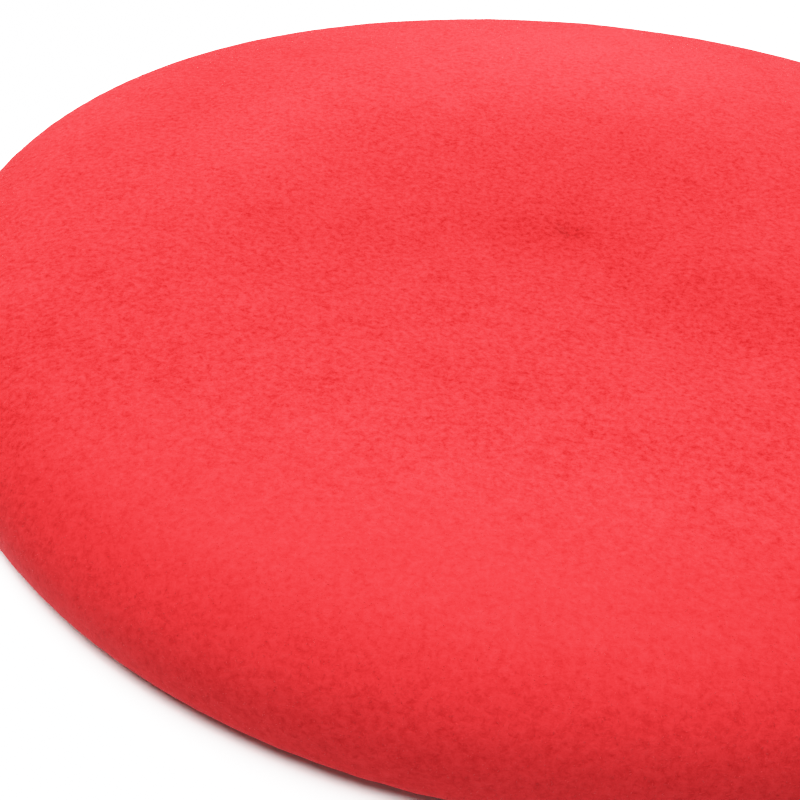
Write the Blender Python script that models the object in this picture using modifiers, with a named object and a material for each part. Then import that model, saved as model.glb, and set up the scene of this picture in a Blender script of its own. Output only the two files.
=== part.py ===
"""A stalkless wool beret of the uniform pattern, lying flat on its bound edge.

Frame: metres, +Z up, the origin on the table under the crown's centre. The wearer's
front is -Y, so the wearer's left is +X. The crown is one seamless piece of felt. Its
edge is bound with a leather strip that holds a drawcord, and a satin lining hangs in it.
"""

import math

import bmesh
import bpy
from mathutils import Matrix, Vector

# Driving dimensions
CROWN_RADIUS = 0.140  # to the outside of the rim
HEAD_RADIUS = 0.091  # inner face of the leather: a head 572 mm round
FELT = 0.0022
LEATHER = 0.0010
LINING = 0.0004
CORD_RADIUS = 0.0011
THREAD_RADIUS = 0.00025
GAP = 0.0003  # left between pieces that touch

# The crown's height on the table, measured at the middle of the felt
DISH_Z = 0.0182  # at the centre, where the felt sags into the head opening
RIDGE_Z = 0.0211  # over the bound edge that carries it
RIM_Z = 0.0050  # at the widest point of the rim
FOOT_Z = 0.0015  # where the underside touches down
RIDGE_RADIUS = 0.098
FOOT_RADIUS = 0.135

# The bound edge
INNER_LEAF_TOP = 0.0155
OUTER_LEAF_TOP = 0.0120
CHANNEL = 0.0035  # width between the two leaves of leather
FELT_EDGE_Z = 0.0040
CORD_Z = 0.00245
BINDING_GAP = 0.014  # at the back, between the strip's two ends
STITCH_LINE_Z = 0.0100

# The lining's bag
LINING_SEAM_RADIUS = 0.1305
LINING_SEAM_Z = 0.0110
LINING_LIFT = 0.0032  # held off the middle of the felt by the stiffener and the vents
LINING_LIFT_RADIUS = 0.106  # nearer the opening than this, it settles on to the felt

# The vents, in the underside on the wearer's right
VENT_RADIUS = 0.1136  # from the crown's axis
VENT_SPACING = 0.048
VENT_BORE = 0.0021
VENT_WALL = 0.0005
VENT_FLANGE = 0.0046

# The badge stiffener, in the front on the wearer's left
STIFFENER_WIDTH = 0.052
STIFFENER_INNER = 0.1040
STIFFENER_OUTER = 0.1250
STIFFENER = 0.0008
STIFFENER_AZIMUTH = math.radians(-55)

# The labels
LABEL = 0.0005
MAKER_LABEL_WIDTH = 0.046
MAKER_LABEL_DEPTH = 0.028
SIZE_LABEL_WIDTH = 0.022
SIZE_LABEL_DROP = 0.0105

# The pucker where the crown's knitting was drawn together
PUCKER_RADIUS = 0.0028
PUCKER_DEPTH = 0.0012

STEPS = 48  # facets round the crown
CORNER_POWER = 6  # roundness of the corners of the flat pieces

# Looks: colour, roughness, metallic
WOOL = ((0.80, 0.028, 0.034), 0.95, 0.0)
SATIN = ((0.012, 0.012, 0.014), 0.45, 0.0)
HIDE = ((0.014, 0.013, 0.013), 0.42, 0.0)
COTTON = ((0.018, 0.018, 0.020), 0.85, 0.0)
BUCKRAM = ((0.55, 0.50, 0.42), 0.90, 0.0)
ENAMEL = ((0.015, 0.015, 0.016), 0.30, 0.6)
WOVEN = ((0.72, 0.70, 0.66), 0.80, 0.0)
POLYESTER = ((0.020, 0.020, 0.022), 0.75, 0.0)

# Worked out from the driving dimensions
RIM_RADIUS = CROWN_RADIUS - FELT / 2
INNER_LEAF_RADIUS = HEAD_RADIUS + LEATHER / 2
OUTER_LEAF_RADIUS = HEAD_RADIUS + LEATHER * 1.5 + CHANNEL
CORD_RING_RADIUS = HEAD_RADIUS + LEATHER + CHANNEL / 2
COLLAR_RADIUS = OUTER_LEAF_RADIUS - LEATHER / 2 - GAP - FELT / 2
BEND_RADIUS = COLLAR_RADIUS + 0.0022
BEND_Z = 0.0164
COLLAR_TOP_Z = BEND_Z - 0.0022
LINING_DEPTH = FELT / 2 + GAP + LINING / 2  # middle of the felt to middle of the lining
SIZE_LABEL_X = HEAD_RADIUS - 0.0017


def clear_scene():
    for old in list(bpy.data.objects):
        bpy.data.objects.remove(old)


def make_collection(name):
    collection = bpy.data.collections.new(name)
    bpy.context.scene.collection.children.link(collection)
    return collection


def make_material(name, look):
    colour, roughness, metallic = look
    material = bpy.data.materials.new(name)
    material.use_nodes = True
    shader = material.node_tree.nodes["Principled BSDF"]
    shader.inputs["Base Color"].default_value = (*colour, 1.0)
    shader.inputs["Roughness"].default_value = roughness
    shader.inputs["Metallic"].default_value = metallic
    return material


def make_object(name, data, look, collection):
    obj = bpy.data.objects.new(name, data)
    if look:
        data.materials.append(make_material(name, look))
    if isinstance(data, bpy.types.Mesh):
        data.shade_smooth()
    collection.objects.link(obj)
    return obj


def hide_as_cutter(obj, collection):
    """Moves a helper shape to a collection and out of the render."""
    for home in list(obj.users_collection):
        home.objects.unlink(obj)
    collection.objects.link(obj)
    obj.hide_render = True
    obj.display_type = "WIRE"
    return obj


# ---------------------------------------------------------------- profiles, as (radius, height)


def ease(share):
    """0 to 1 with a level start and a level end."""
    return (1 - math.cos(math.pi * share)) / 2


def level_curve(start, end, count):
    """Points from start to end that leave and arrive level, without the first."""
    return [
        (
            start[0] + (end[0] - start[0]) * i / count,
            start[1] + (end[1] - start[1]) * ease(i / count),
        )
        for i in range(1, count + 1)
    ]


def arc(centre, across, up, first, last, count):
    """Points on an ellipse from one angle to another, in degrees, without the first."""
    turns = [math.radians(first + (last - first) * i / count) for i in range(1, count + 1)]
    return [
        (centre[0] + across * math.cos(turn), centre[1] + up * math.sin(turn))
        for turn in turns
    ]


def crown_top_path(last_angle, dish_count=5, shoulder_count=7):
    """From the centre over the ridge, and down the shoulder to an angle of its ellipse."""
    path = [(0.0, DISH_Z)]
    path += level_curve((0.0, DISH_Z), (RIDGE_RADIUS, RIDGE_Z), dish_count)
    across, up = RIM_RADIUS - RIDGE_RADIUS, RIDGE_Z - RIM_Z
    path += arc((RIDGE_RADIUS, RIM_Z), across, up, 90, last_angle, shoulder_count)
    return path


def underside_path(outer_radius, count=7):
    """From near the foot inwards, over the bend and down the collar to the felt's edge."""
    path = [(outer_radius, underside_z(outer_radius))]
    for i in range(1, count + 1):
        radius = outer_radius + (BEND_RADIUS - outer_radius) * i / count
        path.append((radius, underside_z(radius)))
    across, up = BEND_RADIUS - COLLAR_RADIUS, BEND_Z - COLLAR_TOP_Z
    path += arc((BEND_RADIUS, COLLAR_TOP_Z), across, up, 90, 180, 3)
    path.append((COLLAR_RADIUS, FELT_EDGE_Z))
    return path


def underside_z(radius):
    share = (FOOT_RADIUS - radius) / (FOOT_RADIUS - BEND_RADIUS)
    return FOOT_Z + (BEND_Z - FOOT_Z) * ease(share)


def felt_path():
    """The middle of the felt, from the crown's centre to its raw edge in the binding."""
    path = crown_top_path(0)
    across, up = RIM_RADIUS - FOOT_RADIUS, RIM_Z - FOOT_Z
    path += arc((FOOT_RADIUS, RIM_Z), across, up, 0, -90, 4)
    path += underside_path(FOOT_RADIUS)[1:]
    return path


def offset_path(path, distances):
    """The path moved to its left by a distance at each point."""
    moved = []
    for i, (radius, height) in enumerate(path):
        before, after = path[max(i - 1, 0)], path[min(i + 1, len(path) - 1)]
        along = Vector((after[0] - before[0], after[1] - before[1])).normalized()
        moved.append((radius - along.y * distances[i], height + along.x * distances[i]))
    return moved


def lining_tip_path():
    """Just under the crown's top, as far as the bag's seam."""
    felt = crown_top_path(36, shoulder_count=4)
    path = offset_path(felt, [-LINING_DEPTH] * len(felt))
    path[0] = (0.0, path[0][1])
    return path


def lining_side_path():
    """From the bag's seam, along the underside and over the bend, into the binding."""
    felt = underside_path(LINING_SEAM_RADIUS - 0.0065, count=6)
    distances = []
    for radius, _ in felt:
        settled = min(max((LINING_LIFT_RADIUS - radius) / (LINING_LIFT_RADIUS - BEND_RADIUS), 0), 1)
        distances.append(-(LINING_LIFT + (LINING_DEPTH - LINING_LIFT) * ease(settled)))
    path = offset_path(felt, distances)
    path[-1] = (path[-1][0], INNER_LEAF_TOP - 0.007)
    radius, height = path[0]
    across, up = LINING_SEAM_RADIUS - radius, LINING_SEAM_Z - height
    return arc((radius, LINING_SEAM_Z), across, up, 15, -90, 3)[:-1] + path


def binding_path():
    """The strip's middle: up one leaf, under a flat fold that stands on the table."""
    low = LEATHER / 2
    inner, outer = INNER_LEAF_RADIUS, OUTER_LEAF_RADIUS
    fold = (outer - inner) * 0.3
    path = [(outer, OUTER_LEAF_TOP), (outer, low + fold)]
    path += arc((outer - fold, low + fold), fold, fold, 0, -90, 3)
    path += [(inner + fold, low)]
    path += arc((inner + fold, low + fold), fold, fold, -90, -180, 3)
    path.append((inner, INNER_LEAF_TOP))
    return path


# ---------------------------------------------------------------- ways to make a solid


def add_screw(obj, steps):
    screw = obj.modifiers.new("turned", "SCREW")
    screw.steps = steps
    screw.render_steps = steps
    screw.use_merge_vertices = True
    screw.merge_threshold = 0.00001


def add_solidify(obj, thickness):
    wall = obj.modifiers.new("wall", "SOLIDIFY")
    wall.thickness = thickness
    wall.offset = 0
    wall.use_even_offset = True


def add_boolean(obj, other, operation):
    step = obj.modifiers.new(operation.lower(), "BOOLEAN")
    step.operation = operation
    step.object = other


def turned(name, path, look, collection, closed=False, steps=STEPS):
    """A profile of (radius, height) points turned about the object's own Z axis."""
    mesh = bpy.data.meshes.new(name)
    edges = [(i, i + 1) for i in range(len(path) - 1)]
    if closed:
        edges.append((len(path) - 1, 0))
    mesh.from_pydata([(radius, 0, height) for radius, height in path], edges, [])
    obj = make_object(name, mesh, look, collection)
    add_screw(obj, steps)
    return obj


def turned_shell(name, path, thickness, look, collection):
    obj = turned(name, path, look, collection)
    add_solidify(obj, thickness)
    return obj


def tube(name, points, radius, look, collection, cyclic=False, resolution=2):
    curve = bpy.data.curves.new(name, "CURVE")
    curve.dimensions = "3D"
    curve.bevel_depth = radius
    curve.bevel_resolution = resolution
    curve.use_fill_caps = not cyclic
    spline = curve.splines.new("POLY")
    spline.points.add(len(points) - 1)
    for point, place in zip(spline.points, points):
        point.co = (*place, 1.0)
    spline.use_cyclic_u = cyclic
    return make_object(name, curve, look, collection)


def ring_points(radius, height, half_gap=0.0):
    """Points round the opening, open at the back by twice the half gap."""
    back = math.pi / 2
    turns = [back + 2 * math.pi * i / STEPS for i in range(STEPS)]
    if half_gap:
        end = half_gap / radius
        turns = [back + end, *turns[2:-1], back + 2 * math.pi - end]
    return [(radius * math.cos(t), radius * math.sin(t), height) for t in turns]


def rounded_patch(name, width, depth, place, thickness, look, collection, cuts=(10, 6)):
    """A flat rounded rectangle, each of its points put on a surface by place(x, y)."""
    mesh = bpy.data.meshes.new(name)
    grid = bmesh.new()
    bmesh.ops.create_grid(grid, x_segments=cuts[0], y_segments=cuts[1], size=1)
    for vertex in grid.verts:
        x, y = abs(vertex.co.x), abs(vertex.co.y)
        corner = (x**CORNER_POWER + y**CORNER_POWER) ** (1 / CORNER_POWER)
        pull = max(x, y) / corner if corner else 1.0
        vertex.co = place(vertex.co.x * pull * width / 2, vertex.co.y * pull * depth / 2)
    grid.to_mesh(mesh)
    grid.free()
    obj = make_object(name, mesh, look, collection)
    add_solidify(obj, thickness)
    return obj


def as_mesh(obj):
    """The evaluated curve as a mesh object with welded caps, in the curve's place."""
    graph = bpy.context.evaluated_depsgraph_get()
    mesh = bpy.data.meshes.new_from_object(obj.evaluated_get(graph))
    name, world = obj.name, obj.matrix_world.copy()
    bpy.data.objects.remove(obj)
    weld = bmesh.new()
    weld.from_mesh(mesh)
    bmesh.ops.remove_doubles(weld, verts=weld.verts, dist=0.000001)
    weld.to_mesh(mesh)
    weld.free()
    made = bpy.data.objects.new(name, mesh)
    made.matrix_world = world
    return made


# ---------------------------------------------------------------- the beret's pieces


def vent_matrix(azimuth):
    """A vent's place in the underside, with its own Z pointing out of the felt."""
    share = (FOOT_RADIUS - VENT_RADIUS) / (FOOT_RADIUS - BEND_RADIUS)
    rise = (BEND_Z - FOOT_Z) * math.pi / 2 * math.sin(math.pi * share)
    slope = -rise / (FOOT_RADIUS - BEND_RADIUS)
    radial = Vector((math.cos(azimuth), math.sin(azimuth), 0))
    out = (radial * slope - Vector((0, 0, 1))).normalized()
    side = Vector((-math.sin(azimuth), math.cos(azimuth), 0))
    turn = Matrix((side, out.cross(side), out)).transposed().to_4x4()
    place = radial * VENT_RADIUS + Vector((0, 0, underside_z(VENT_RADIUS)))
    return Matrix.Translation(place) @ turn


def vent_azimuths():
    """Front and rear vent, either side of the wearer's right, which is -X."""
    half = VENT_SPACING / 2 / VENT_RADIUS
    return {"front": math.pi + half, "rear": math.pi - half}


def felt_crown(parts, cutters):
    crown = turned_shell("felt_crown", felt_path(), FELT, WOOL, parts)
    for where, azimuth in vent_azimuths().items():
        bpy.ops.mesh.primitive_cylinder_add(
            vertices=16, radius=VENT_BORE + VENT_WALL + GAP, depth=FELT * 3
        )
        hole = hide_as_cutter(bpy.context.object, cutters)
        hole.name = f"vent_hole_{where}"
        hole.matrix_world = vent_matrix(azimuth)
        add_boolean(crown, hole, "DIFFERENCE")
    ball = (PUCKER_RADIUS**2 + PUCKER_DEPTH**2) / (2 * PUCKER_DEPTH)
    bpy.ops.mesh.primitive_uv_sphere_add(segments=16, ring_count=12, radius=ball)
    pucker = hide_as_cutter(bpy.context.object, cutters)
    pucker.name = "pucker"
    pucker.location.z = DISH_Z + FELT / 2 + ball - PUCKER_DEPTH
    add_boolean(crown, pucker, "DIFFERENCE")


def vents(parts):
    """Each vent is a flanged eyelet rolled over a washer on the felt's inner side."""
    outside, inside = FELT / 2 + GAP, -FELT / 2 - GAP
    barrel = VENT_BORE + VENT_WALL
    washer_low = inside - VENT_WALL
    roll_top, roll_low = washer_low - GAP, washer_low - GAP - VENT_WALL
    eyelet = [
        (VENT_BORE, outside + VENT_WALL),
        (VENT_FLANGE, outside + VENT_WALL),
        (VENT_FLANGE, outside),
        (barrel, outside),
        (barrel, roll_top),
        (barrel + 0.0009, roll_top),
        (barrel + 0.0009, roll_low),
        (VENT_BORE, roll_low),
    ]
    washer = [
        (barrel + GAP, inside),
        (VENT_FLANGE, inside),
        (VENT_FLANGE, washer_low),
        (barrel + GAP, washer_low),
    ]
    for where, azimuth in vent_azimuths().items():
        for kind, profile in (("eyelet", eyelet), ("washer", washer)):
            name = f"vent_{kind}_{where}"
            piece = turned(name, profile, ENAMEL, parts, closed=True, steps=16)
            piece.matrix_world = vent_matrix(azimuth)


def sweatband(parts, cutters):
    band = turned_shell("sweatband", binding_path(), LEATHER, HIDE, parts)
    bpy.ops.mesh.primitive_cube_add(size=1)
    gap = hide_as_cutter(bpy.context.object, cutters)
    gap.name = "binding_gap"
    gap.scale = (BINDING_GAP, 0.03, 0.06)
    gap.location = (0, CORD_RING_RADIUS, 0.01)
    add_boolean(band, gap, "DIFFERENCE")


def drawcord(parts, cutters):
    """The cord's ring in the channel, and the knot that closes it at the back."""
    lead = 0.0052  # from the knot's middle to where the ring starts
    tube("drawcord", ring_points(CORD_RING_RADIUS, CORD_Z, lead), CORD_RADIUS, COTTON, parts)

    knot_y = OUTER_LEAF_RADIUS + 0.0022
    knot_z = CORD_Z + 0.0008
    start = lead - GAP
    route = [
        (start, CORD_RING_RADIUS, CORD_Z),
        (start * 0.7, CORD_RING_RADIUS + 0.0006, CORD_Z),
        (start * 0.4, CORD_RING_RADIUS + 0.0022, CORD_Z + 0.0002),
        (0, knot_y - 0.0004, knot_z),
    ]
    leads = route + [(-x, y, z) for x, y, z in route[-2::-1]]
    pieces = [tube("knot_leads", leads, CORD_RADIUS, None, cutters)]
    for side in (-1, 1):
        end = [
            (side * 0.0004, knot_y, knot_z),
            (side * 0.0016, knot_y + 0.0026, knot_z - 0.0003),
            (side * 0.0023, knot_y + 0.0062, CORD_RADIUS + GAP),
        ]
        pieces.append(tube(f"knot_end_{side}", end, CORD_RADIUS, None, cutters))
    knot_mesh = bpy.data.meshes.new("drawcord_knot")
    ball = bmesh.new()
    bmesh.ops.create_uvsphere(ball, u_segments=12, v_segments=8, radius=0.0024)
    ball.to_mesh(knot_mesh)
    ball.free()
    knot = make_object("drawcord_knot", knot_mesh, COTTON, parts)
    knot.location = (0, knot_y, knot_z)
    for piece in pieces:
        add_boolean(knot, hide_as_cutter(as_mesh(piece), cutters), "UNION")


def badge_stiffener(parts):
    """A plate that lies on the inner side of the felt, behind where a badge is pinned."""
    middle = (STIFFENER_INNER + STIFFENER_OUTER) / 2
    rise = FELT / 2 + GAP + STIFFENER / 2

    def place(x, y):
        radius = middle + y
        step = 0.0005
        slope = (underside_z(radius + step) - underside_z(radius - step)) / (2 * step)
        up = Vector((-slope, 1)).normalized() * (rise + 0.0001)
        azimuth = STIFFENER_AZIMUTH + x / middle
        reach = radius + up.x
        return (
            reach * math.cos(azimuth),
            reach * math.sin(azimuth),
            underside_z(radius) + up.y,
        )

    depth = STIFFENER_OUTER - STIFFENER_INNER
    rounded_patch(
        "badge_stiffener", STIFFENER_WIDTH, depth, place, STIFFENER, BUCKRAM, parts
    )


def maker_label(parts):
    """A blank woven label under the middle of the lining's tip."""
    under = LINING_DEPTH + LINING / 2 + GAP + LABEL / 2 + 0.0001

    def place(x, y):
        share = math.hypot(x, y) / RIDGE_RADIUS
        first_share = 1 / 5  # the lining is straight between its rings of points
        rise = (RIDGE_Z - DISH_Z) * ease(first_share) * min(share / first_share, 1)
        if share > first_share:
            rest = (share - first_share) / first_share
            rise += (RIDGE_Z - DISH_Z) * (ease(2 * first_share) - ease(first_share)) * rest
        return (x, y, DISH_Z + rise - under)

    rounded_patch(
        "maker_label", MAKER_LABEL_WIDTH, MAKER_LABEL_DEPTH, place, LABEL, WOVEN, parts
    )


def size_label(parts):
    """A tab sewn in over the leather's edge. It hangs on its hinge line, along +Y."""

    def place(x, y):
        return (0, x, y - SIZE_LABEL_DROP / 2)

    label = rounded_patch(
        "size_label", SIZE_LABEL_WIDTH, SIZE_LABEL_DROP, place, LABEL, WOVEN, parts
    )
    label.location = (SIZE_LABEL_X, 0, INNER_LEAF_TOP)


def threads(parts):
    """Needle and bobbin thread of the binding's seam, and the thread of the lining's."""
    off = LEATHER / 2 + GAP + THREAD_RADIUS
    to_end = BINDING_GAP / 2 + 0.001
    rings = {
        "binding_thread_outer": (OUTER_LEAF_RADIUS + off, STITCH_LINE_Z, to_end),
        "binding_thread_inner": (INNER_LEAF_RADIUS - off, STITCH_LINE_Z, to_end),
        "lining_seam_thread": (LINING_SEAM_RADIUS + 0.0008, LINING_SEAM_Z + 0.0008, 0.0),
    }
    for name, (radius, height, half_gap) in rings.items():
        points = ring_points(radius, height, half_gap)
        closed = not half_gap
        tube(name, points, THREAD_RADIUS, POLYESTER, parts, cyclic=closed, resolution=0)


def main():
    clear_scene()
    parts = make_collection("beret")
    cutters = make_collection("cutters")
    felt_crown(parts, cutters)
    turned_shell("lining_tip", lining_tip_path(), LINING, SATIN, parts)
    turned_shell("lining_side", lining_side_path(), LINING, SATIN, parts)
    sweatband(parts, cutters)
    drawcord(parts, cutters)
    badge_stiffener(parts)
    vents(parts)
    maker_label(parts)
    size_label(parts)
    threads(parts)


main()
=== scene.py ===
"""The looks of a scarlet wool beret on a white table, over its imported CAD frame.

Every CAD solid is replaced by a finer piece in the same place: brushed felt and its nap,
a stitched leather binding, a plied cord and its knot, a slack satin lining, rolled
eyelets, a buckram patch and woven labels.
"""

import math

import bmesh
import bpy
import numpy as np
from mathutils import Matrix, Vector, noise


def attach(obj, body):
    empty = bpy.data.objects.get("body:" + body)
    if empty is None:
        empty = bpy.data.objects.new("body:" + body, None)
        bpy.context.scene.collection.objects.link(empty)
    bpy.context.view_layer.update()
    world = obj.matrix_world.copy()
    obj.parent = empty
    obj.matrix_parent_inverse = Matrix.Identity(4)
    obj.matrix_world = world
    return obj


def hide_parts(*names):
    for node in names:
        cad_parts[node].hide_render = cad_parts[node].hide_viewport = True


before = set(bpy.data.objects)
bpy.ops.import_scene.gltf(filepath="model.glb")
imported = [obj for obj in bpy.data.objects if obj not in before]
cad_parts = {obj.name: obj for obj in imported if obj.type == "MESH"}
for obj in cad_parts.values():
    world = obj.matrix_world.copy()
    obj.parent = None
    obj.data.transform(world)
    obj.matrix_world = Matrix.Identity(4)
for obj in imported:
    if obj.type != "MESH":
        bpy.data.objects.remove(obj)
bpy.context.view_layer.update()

# -------- sizes, in metres, as in the CAD

FELT = 0.0022
LEATHER = 0.001
LINING = 0.0004
CORD_RADIUS = 0.0011
THREAD_RADIUS = 0.00025
GAP = 0.0003

DISH_Z = 0.0182
RIDGE_Z = 0.0211
RIM_Z = 0.005
FOOT_Z = 0.0015
FOOT_RADIUS = 0.135
RIM_RADIUS = 0.14 - FELT / 2

HEAD_RADIUS = 0.091
CHANNEL = 0.0035
INNER_LEAF_TOP = 0.0155
OUTER_LEAF_TOP = 0.012
FELT_EDGE_Z = 0.004
CORD_Z = 0.00245
BINDING_GAP = 0.014
STITCH_LINE_Z = 0.01

INNER_LEAF_RADIUS = HEAD_RADIUS + LEATHER / 2
OUTER_LEAF_RADIUS = HEAD_RADIUS + LEATHER * 1.5 + CHANNEL
CORD_RING_RADIUS = HEAD_RADIUS + LEATHER + CHANNEL / 2
COLLAR_RADIUS = OUTER_LEAF_RADIUS - LEATHER / 2 - GAP - FELT / 2
BEND = 0.0022
BEND_RADIUS = COLLAR_RADIUS + BEND
BEND_Z = 0.0164
COLLAR_TOP_Z = BEND_Z - BEND

LINING_DEPTH = FELT / 2 + GAP + LINING / 2
LINING_SEAM_RADIUS = 0.1305
LINING_SEAM_Z = 0.011
LINING_LIFT = 0.0032
LINING_LIFT_RADIUS = 0.106

VENT_RADIUS = 0.1136
VENT_SPACING = 0.048
VENT_BORE = 0.0021
VENT_WALL = 0.0005
VENT_FLANGE = 0.0046

STIFFENER_WIDTH = 0.052
STIFFENER_INNER = 0.104
STIFFENER_OUTER = 0.125
STIFFENER = 0.0008
STIFFENER_AZIMUTH = math.radians(-55)

LABEL = 0.0005
MAKER_LABEL_WIDTH = 0.046
MAKER_LABEL_DEPTH = 0.028
SIZE_LABEL_X = HEAD_RADIUS - 0.0017
SIZE_LABEL_WIDTH = 0.022
SIZE_LABEL_DROP = 0.0105

BACK = math.pi / 2  # the azimuth of the beret's back
AROUND = 480  # steps round the felt
FELT_STEPS = (66, 40, 14, 22)  # over its dish, down its shoulder, below the rim, underneath
INSIDE_STEPS = (22, 12, 6, 10)
BEND_STEPS = 6
COLLAR_STEPS = 5
STITCH_PITCH = 0.0032

CORD_STRANDS = 3
CORD_PITCH = 0.0042  # along the cord for one turn of its strands
CORD_LEAD = 0.0052  # from the middle of the gap to where the knotted strands begin
STITCH_LIFT = 0.00012  # of a stitch's middle above the leather
STITCH_DIP = 0.00055  # of its ends below that
STITCH_SLANT = 0.0001
TACKS = 12  # that hold the size label
LABEL_THREAD_RADIUS = 0.00013
LABEL_THREAD_COLOUR = (0.5, 0.48, 0.44)
LABEL_STITCH_PITCH = 0.002
LABEL_SEAM_IN = 0.0011  # how far the label's seam is from its edge
LABEL_SEAM_END = 0.002  # and from its corners

# -------- light

KEY_PLACE = (-0.3, 0.12, 1.3)
KEY_SIZE = 1.5
KEY_POWER = 67.0
AMBIENT = 0.12
BRIGHTEST = 2.6  # the light that the camera shows as white, where 1 is paper white
# What the camera shows for each light: true up to middle tones, then an easy shoulder
RESPONSE = [(0.25, 0.25), (0.5, 0.5), (0.8, 0.71), (1.05, 0.85), (1.3, 0.925), (1.7, 0.98)]

# -------- the crown's relief

# Soft forms that the felt has taken: (x, y, length, width, turn in degrees, height)
SOFT_FORMS = [
    (0.03, -0.044, 0.022, 0.01, -12, -0.0011),  # in front of the long crease
    (0.032, -0.014, 0.024, 0.01, -14, 0.0009),  # the swell behind it
    (0.0, -0.019, 0.016, 0.0075, 0, -0.0007),  # just in front of the pucker
    (-0.004, 0.01, 0.022, 0.0085, 0, 0.0005),
    (-0.03, -0.026, 0.016, 0.008, 8, -0.0007),  # the crease left of the pucker
    (-0.03, -0.002, 0.018, 0.008, 8, 0.0005),
    (0.026, -0.066, 0.024, 0.008, -10, 0.0007),
    (-0.03, -0.068, 0.02, 0.008, 10, 0.0005),
    (-0.004, -0.112, 0.042, 0.01, 2, 0.0006),  # the front of the ring
    (0.014, -0.126, 0.016, 0.006, 5, -0.0004),  # a slack place on the front shoulder
    (-0.078, -0.008, 0.016, 0.011, 60, 0.0005),
]
RING_CENTRE = (0.004, -0.028)
RING_RADIUS = 0.086
BACK_RISE = 0.0012  # of the ring, at the back
FORMS_RADIUS = 0.114  # where the forms begin to fade towards the rim
FORMS_FADE = 0.02
DISH_POWER = 1.3  # how far the dish stays level before it rises to the ring
SHOULDER_POWER = 0.8  # 1 is a quarter of an ellipse, and less is a fuller shoulder

# Painted light (above 0) and painted shade (below 0) on the felt's colour, partly for where the nap
# stands up or lies down:
#  painted light at the back and the left, painted shade in the dish, the creases and the pucker's
#  pit: (x, y, length, width, turn in degrees, share)
NAP_AND_PAINTED_LIGHT = [
    (-0.006, 0.092, 0.08, 0.044, 4, 0.56),  # the back
    (-0.076, 0.02, 0.034, 0.015, 75, 0.24),  # the left of the ring
    (0.0, 0.012, 0.048, 0.03, 0, -0.16),  # the dish
    (-0.05, -0.028, 0.03, 0.02, 20, -0.15),
    (0.038, -0.029, 0.034, 0.013, -14, -0.27),  # the long crease
    (-0.005, -0.009, 0.018, 0.01, 5, -0.24),  # round the pucker
    (0.0012, -0.0078, 0.0032, 0.0022, 15, -0.42),  # the pucker's own pit
    (-0.006, -0.094, 0.04, 0.016, 3, 0.13),  # the front of the ring
    (-0.09, -0.082, 0.034, 0.026, -45, -0.15),
    (0.046, -0.112, 0.024, 0.015, 0, -0.14),
    (-0.034, 0.05, 0.022, 0.016, 0, 0.1),
    (0.008, 0.038, 0.026, 0.018, 0, -0.09),
    (-0.124, 0.02, 0.034, 0.013, 80, 0.16),  # the left of the rim
]
FRONT_RIM_PAINTED_SHADE = 0.37  # how much painted shade darkens the front of the rim
FRONT_RIM_SHADE_RADIUS = 0.12  # where that begins
FRONT_RIM_SHADE_FADE = 0.016
FRONT_RUB = 0.5  # how much fainter the small pits are at the front
FRONT_RUB_Y = -0.078  # where that begins
FRONT_RUB_FADE = 0.04

# Fibres: how many, their length, how far they stand (0 is flat), and their radius
CROWN_NAP = (14000, 0.001, 0.5, 0.000027)
LOOSE_HAIRS = (5200, 0.0019, 0.45, 0.000026)
UNDERSIDE_NAP = (14000, 0.001, 0.4, 0.000022)
NAP_LAYERS = 5
FIBRE_ROOT = 0.00008  # how deep a fibre starts in the felt
MILLING = 0.00009  # height of the milled surface's small lumps
MILLING_SIZE = 0.0028
GATHER_RADIUS = 0.128  # inside this the underside is gathered
GATHER_HEIGHT = 0.00022

PUCKER_Y = -0.0068  # it sits a little in front of the crown's centre
DRAWN_RADIUS = 0.085  # the felt's rings inside this gather round the pucker
PUCKER_DEPTH = 0.0012
PUCKER_WIDTH = 0.0021
PUCKER_PLEATS = 7
PUCKER_PLEAT_HEIGHT = 0.0001
PUCKER_PLEAT_REACH = 0.005


def ease(share):
    """0 to 1 with a level start and a level end."""
    return (1 - np.cos(np.pi * np.clip(share, 0, 1))) / 2


def rounded_end(share, least):
    """The half thickness of a rounded end, from its tip (0) to where it is full (1)."""
    return np.sqrt(np.clip(1 - (1 - np.clip(share, 0, 1)) ** 2, least, 1))


def ridge_radius(azimuth):
    """The soft ring round the crown lies forward of the crown's centre."""
    toward = RING_CENTRE[0] * np.cos(azimuth) + RING_CENTRE[1] * np.sin(azimuth)
    off = math.hypot(*RING_CENTRE)
    wander = 0.002 * np.cos(3 * azimuth - 1.0)
    return toward + np.sqrt(RING_RADIUS**2 - off**2 + toward**2) + wander


def ridge_height(azimuth):
    return RIDGE_Z + BACK_RISE * ease(0.5 + 0.5 * np.sin(azimuth))


def rim_radius(azimuth):
    """The rim isn't a true circle."""
    waves = 0.9 * np.cos(2 * azimuth + 0.5) + 0.5 * np.cos(3 * azimuth - 2.4)
    return RIM_RADIUS + 0.001 * (waves + np.cos(4 * azimuth + 1.8))


def smooth_noise(x, y, size, seed):
    """Gentle unevenness between -1 and 1, with swells of about the given size."""
    flat_x, flat_y = np.ravel(x) / size, np.ravel(y) / size
    values = [noise.noise((a, b, seed * 7.31)) for a, b in zip(flat_x, flat_y)]
    return np.array(values).reshape(np.shape(x))


def soft_patches(x, y, patches):
    """The sum of soft-edged oval patches at each place."""
    total = np.zeros_like(x)
    for centre_x, centre_y, length, width, turn, amount in patches:
        c, s = math.cos(math.radians(turn)), math.sin(math.radians(turn))
        along = (x - centre_x) * c + (y - centre_y) * s
        across = -(x - centre_x) * s + (y - centre_y) * c
        total += amount * np.exp(-((along / length) ** 2) - (across / width) ** 2)
    return total


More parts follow.
